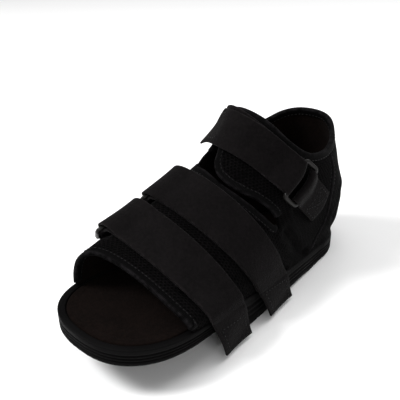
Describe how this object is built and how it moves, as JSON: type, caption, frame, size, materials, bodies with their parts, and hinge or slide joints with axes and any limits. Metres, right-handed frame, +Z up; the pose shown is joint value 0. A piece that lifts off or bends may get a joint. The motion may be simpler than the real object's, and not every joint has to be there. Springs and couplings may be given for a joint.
{
  "type": "post operative shoe",
  "caption": "Open toed post operative shoe for the left foot with a forefoot relief wedge sole, a padded mesh upper with an instep slot, and hook and loop straps through rings.",
  "frame": {"origin": "on the floor, at the middle of the sole's length and on the foot's centre line, where the flat tread is", "axes": "+Z up, -Y towards the toe, +X towards the outer side of the left foot"},
  "size_m": [0.1228, 0.2864, 0.1534],
  "materials": {
    "rubber": "moulded foam rubber, matt",
    "lining": "brushed cloth over foam",
    "mesh": "padded spacer mesh",
    "webbing": "brushed loop cloth, slight sheen",
    "tape": "woven binding tape",
    "plastic": "moulded, half gloss"
  },
  "bodies": {
    "root": {"outsole": "rubber", "footbed": "lining", "upper": "mesh", "toe_binding": "tape", "vamp_binding": "tape", "cuff_binding_outer": "tape", "cuff_binding_inner": "tape", "collar_binding": "tape", "counter_piping_outer": "tape", "counter_piping_inner": "tape", "strap_front": "webbing", "tab_front": "webbing", "ring_front": "plastic", "strap_middle": "webbing", "tab_middle": "webbing", "ring_middle": "plastic", "strap_ankle": "webbing", "tab_ankle": "webbing", "ring_ankle": "plastic"}
  },
  "joints": []
}
